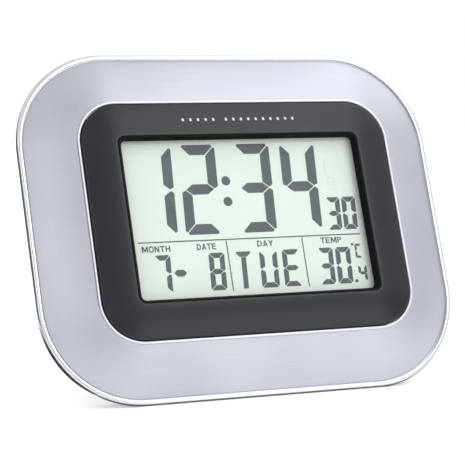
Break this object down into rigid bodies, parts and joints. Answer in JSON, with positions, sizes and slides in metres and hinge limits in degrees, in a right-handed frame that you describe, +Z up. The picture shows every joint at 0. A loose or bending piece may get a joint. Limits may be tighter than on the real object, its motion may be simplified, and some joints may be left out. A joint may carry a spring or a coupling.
{
  "type": "digital clock",
  "caption": "Radio-controlled digital clock with a large liquid crystal display in a silver round-cornered case, standing on a fold-out leg, with a keyhole for a wall screw.",
  "frame": {"origin": "middle of the bounding box's base, on the table that the clock stands on", "axes": "+X to the right as seen from the front, +Y from the display towards the back, +Z up"},
  "size_m": [0.23, 0.077, 0.1705],
  "materials": {
    "silver_frame": "silver lacquer on moulded ABS, semi-gloss",
    "silver_fascia": "silver lacquer, finely brushed, satin",
    "dark_bezel": "anthracite ABS, fine satin texture",
    "black_mask": "black ABS, satin",
    "clear_lens": "clear acrylic, polished",
    "display_glass": "display glass",
    "display_back": "diffusing reflector film, matte",
    "display_ink": "darkened liquid crystal",
    "white_holder": "white ABS, matte",
    "connector_rubber": "layered silicone connector",
    "circuit_board": "green solder mask, satin",
    "black_resin": "black resin, satin",
    "screw_steel": "zinc-plated steel",
    "plated_metal": "nickel plate, satin",
    "case_dark": "charcoal ABS, fine spark texture",
    "button_rubber": "grey moulded rubber, matte",
    "cell_label": "printed steel can, semi-gloss",
    "ferrite": "sintered ferrite, matte",
    "copper_wire": "lacquered copper wire",
    "wire_insulation": "coloured lead insulation"
  },
  "bodies": {
    "root": {"front_frame": "silver_frame", "fascia_ring": "silver_fascia", "inner_bezel": "dark_bezel", "window_mask": "black_mask", "display_lens": "clear_lens", "front_polariser": "display_glass", "front_glass": "display_glass", "rear_glass": "display_glass", "display_reflector": "display_back", "display_holder": "white_holder", "rubber_connectors": "connector_rubber", "main_board": "circuit_board", "board_screws": "screw_steel", "controller_chip": "black_resin", "clock_crystal": "plated_metal", "filter_capacitor": "black_resin", "surface_parts": "black_resin", "temperature_sensor": "black_resin", "back_cover": "case_dark", "case_screws": "screw_steel", "positive_contact": "plated_metal", "negative_contact": "plated_metal", "bridge_contact": "plated_metal", "battery_upper": "cell_label", "battery_lower": "cell_label", "battery_springs": "plated_metal", "key_board": "circuit_board", "key_board_screws": "screw_steel", "key_switches": "black_resin", "board_header": "plated_metal", "ferrite_rod": "ferrite", "aerial_coil": "copper_wire", "aerial_holder": "white_holder", "receiver_board": "circuit_board", "receiver_chip": "black_resin", "receiver_crystal": "plated_metal", "battery_leads": "wire_insulation", "aerial_leads": "copper_wire", "receiver_leads": "wire_insulation", "display_segments": "display_ink"},
    "stand_leg": {"stand_leg": "case_dark"},
    "battery_door": {"battery_door": "case_dark"},
    "button_set": {"button_set": "button_rubber"},
    "button_wave": {"button_wave": "button_rubber"},
    "button_plus": {"button_plus": "button_rubber"},
    "button_minus": {"button_minus": "button_rubber"},
    "button_unit": {"button_unit": "button_rubber"}
  },
  "joints": [
    {"name": "stand_fold", "type": "hinge", "parent": "root", "child": "stand_leg", "pos_m": [0, 0.00879, 0.08647], "axis": [1, 0, 0], "range_deg": [-28.1, 0]},
    {"name": "door_hinge", "type": "hinge", "parent": "root", "child": "battery_door", "pos_m": [0, 0.02542, 0.12744], "axis": [1, 0, 0], "range_deg": [0, 95]},
    {"name": "button_set_press", "type": "slide", "parent": "root", "child": "button_set", "axis": [0, -0.9348, 0.3551], "range_m": [0, 0.0007], "stiffness_N_per_m": 400},
    {"name": "button_wave_press", "type": "slide", "parent": "root", "child": "button_wave", "axis": [0, -0.9348, 0.3551], "range_m": [0, 0.0007], "stiffness_N_per_m": 400},
    {"name": "button_plus_press", "type": "slide", "parent": "root", "child": "button_plus", "axis": [0, -0.9348, 0.3551], "range_m": [0, 0.0007], "stiffness_N_per_m": 400},
    {"name": "button_minus_press", "type": "slide", "parent": "root", "child": "button_minus", "axis": [0, -0.9348, 0.3551], "range_m": [0, 0.0007], "stiffness_N_per_m": 400},
    {"name": "button_unit_press", "type": "slide", "parent": "root", "child": "button_unit", "axis": [0, -0.9348, 0.3551], "range_m": [0, 0.0007], "stiffness_N_per_m": 400}
  ]
}
